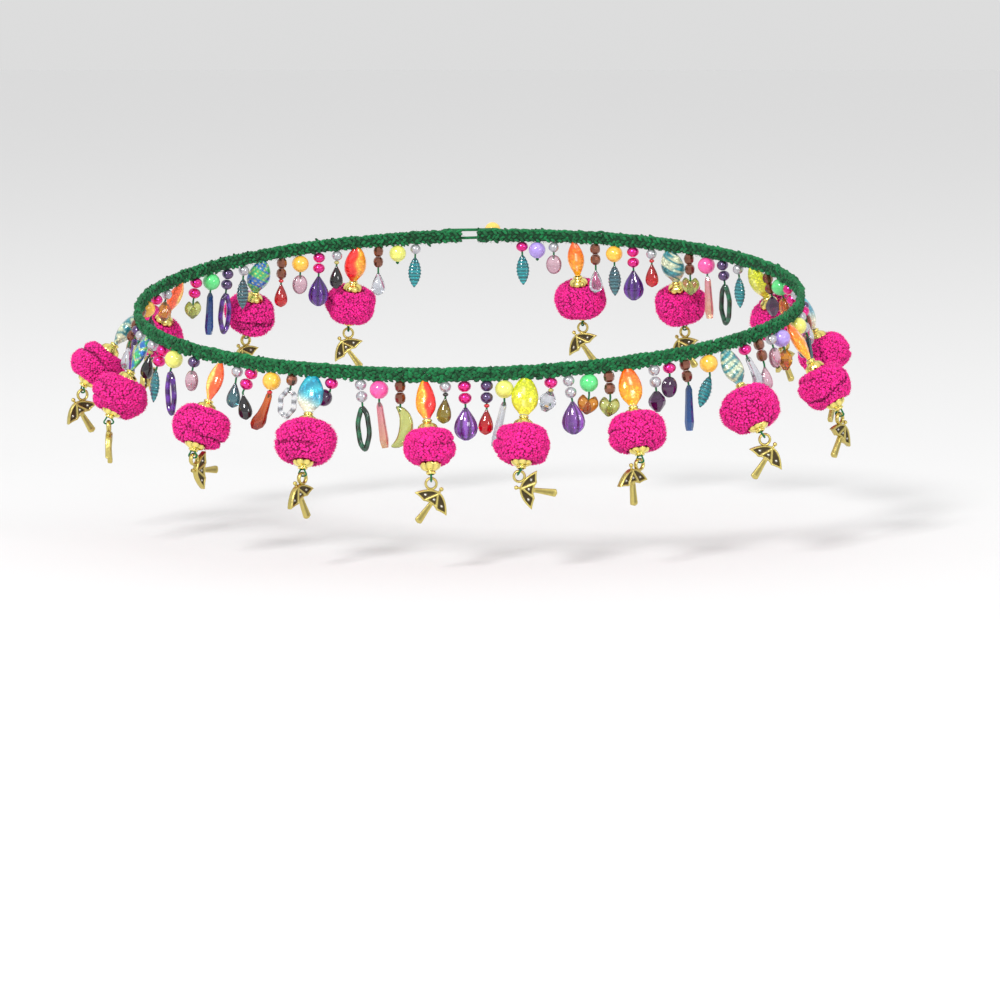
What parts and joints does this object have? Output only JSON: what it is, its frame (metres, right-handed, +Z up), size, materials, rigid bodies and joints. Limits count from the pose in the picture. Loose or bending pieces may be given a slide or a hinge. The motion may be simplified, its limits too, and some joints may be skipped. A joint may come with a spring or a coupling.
{
  "type": "waist belt",
  "caption": "Crocheted waist belt with a fringe of mixed bead strings and beaded pompom pendants, each ending in a small umbrella charm.",
  "frame": {"origin": "middle of the ring that the belt makes round the wearer, on the wearer's axis, half way between its lowest point in front and its highest behind", "axes": "+Z up, -Y the wearer's front, +X the viewer's right from the front"},
  "size_m": [0.4154, 0.2769, 0.1371],
  "materials": {
    "crochet": "fuzzy crocheted wool",
    "bead": "polished, many colours",
    "pompom": "cut yarn",
    "brass": "antique brass, darkened in the hollows"
  },
  "bodies": {
    "belt": {"band": "crochet", "closure_loop": "crochet", "closure_button": "bead", "bead_fringe_01": "bead", "bead_fringe_02": "bead", "bead_fringe_03": "bead", "bead_fringe_04": "bead", "bead_fringe_05": "bead", "bead_fringe_06": "bead", "bead_fringe_07": "bead", "bead_fringe_08": "bead", "bead_fringe_09": "bead", "bead_fringe_10": "bead", "bead_fringe_11": "bead", "bead_fringe_12": "bead", "bead_fringe_13": "bead", "bead_fringe_14": "bead", "bead_fringe_15": "bead", "bead_fringe_16": "bead", "pompom_01": "pompom", "pompom_02": "pompom", "pompom_03": "pompom", "pompom_04": "pompom", "pompom_05": "pompom", "pompom_06": "pompom", "pompom_07": "pompom", "pompom_08": "pompom", "pompom_09": "pompom", "pompom_10": "pompom", "pompom_11": "pompom", "pompom_12": "pompom", "pompom_13": "pompom", "pompom_14": "pompom", "pompom_15": "pompom", "pompom_16": "pompom"},
    "charm_01": {"umbrella_charm_01": "brass"},
    "charm_02": {"umbrella_charm_02": "brass"},
    "charm_03": {"umbrella_charm_03": "brass"},
    "charm_04": {"umbrella_charm_04": "brass"},
    "charm_05": {"umbrella_charm_05": "brass"},
    "charm_06": {"umbrella_charm_06": "brass"},
    "charm_07": {"umbrella_charm_07": "brass"},
    "charm_08": {"umbrella_charm_08": "brass"},
    "charm_09": {"umbrella_charm_09": "brass"},
    "charm_10": {"umbrella_charm_10": "brass"},
    "charm_11": {"umbrella_charm_11": "brass"},
    "charm_12": {"umbrella_charm_12": "brass"},
    "charm_13": {"umbrella_charm_13": "brass"},
    "charm_14": {"umbrella_charm_14": "brass"},
    "charm_15": {"umbrella_charm_15": "brass"},
    "charm_16": {"umbrella_charm_16": "brass"}
  },
  "joints": [
    {"name": "charm_01_swing", "type": "hinge", "parent": "belt", "child": "charm_01", "pos_m": [-0.06915, 0.12477, -0.02597], "axis": [-0.1736, 0.9848, 0], "range_deg": [-30, 35]},
    {"name": "charm_02_swing", "type": "hinge", "parent": "belt", "child": "charm_02", "pos_m": [-0.12566, 0.10674, -0.02855], "axis": [-0.6428, 0.766, 0], "range_deg": [-30, 35]},
    {"name": "charm_03_swing", "type": "hinge", "parent": "belt", "child": "charm_03", "pos_m": [-0.17658, 0.06985, -0.03745], "axis": [-0.9063, 0.4226, 0], "range_deg": [-30, 35]},
    {"name": "charm_04_swing", "type": "hinge", "parent": "belt", "child": "charm_04", "pos_m": [-0.20466, -0.0039, -0.04864], "axis": [-0.5, 0.866, 0], "range_deg": [-34, 31]},
    {"name": "charm_05_swing", "type": "hinge", "parent": "belt", "child": "charm_05", "pos_m": [-0.18684, -0.04392, -0.06128], "axis": [-0.9994, -0.0349, 0], "range_deg": [-30, 35]},
    {"name": "charm_06_swing", "type": "hinge", "parent": "belt", "child": "charm_06", "pos_m": [-0.13922, -0.09435, -0.07327], "axis": [-0.848, 0.5299, 0], "range_deg": [-2, 85]},
    {"name": "charm_07_swing", "type": "hinge", "parent": "belt", "child": "charm_07", "pos_m": [-0.08239, -0.12133, -0.07941], "axis": [-0.788, 0.6157, 0], "range_deg": [-39, 26]},
    {"name": "charm_08_swing", "type": "hinge", "parent": "belt", "child": "charm_08", "pos_m": [-0.01804, -0.13091, -0.08095], "axis": [0.0523, -0.9986, 0], "range_deg": [-30, 35]},
    {"name": "charm_09_swing", "type": "hinge", "parent": "belt", "child": "charm_09", "pos_m": [0.0249, -0.13071, -0.07764], "axis": [0, 1, 0], "range_deg": [-2, 81]},
    {"name": "charm_10_swing", "type": "hinge", "parent": "belt", "child": "charm_10", "pos_m": [0.08609, -0.11923, -0.07281], "axis": [-0.6947, 0.7193, 0], "range_deg": [-60, 10]},
    {"name": "charm_11_swing", "type": "hinge", "parent": "belt", "child": "charm_11", "pos_m": [0.14982, -0.0956, -0.06263], "axis": [0.0698, -0.9976, 0], "range_deg": [-34, 31]},
    {"name": "charm_12_swing", "type": "hinge", "parent": "belt", "child": "charm_12", "pos_m": [0.19208, -0.04647, -0.05684], "axis": [0.788, -0.6157, 0], "range_deg": [-34, 31]},
    {"name": "charm_13_swing", "type": "hinge", "parent": "belt", "child": "charm_13", "pos_m": [0.19384, 0.00952, -0.04418], "axis": [0.9397, -0.342, 0], "range_deg": [-30, 35]},
    {"name": "charm_14_swing", "type": "hinge", "parent": "belt", "child": "charm_14", "pos_m": [0.17267, 0.07282, -0.02826], "axis": [0.8829, 0.4695, 0], "range_deg": [-30, 35]},
    {"name": "charm_15_swing", "type": "hinge", "parent": "belt", "child": "charm_15", "pos_m": [0.11943, 0.11054, -0.0242], "axis": [0.5, 0.866, 0], "range_deg": [-30, 35]},
    {"name": "charm_16_swing", "type": "hinge", "parent": "belt", "child": "charm_16", "pos_m": [0.06275, 0.12614, -0.02295], "axis": [0.2588, 0.9659, 0], "range_deg": [-30, 35]}
  ]
}
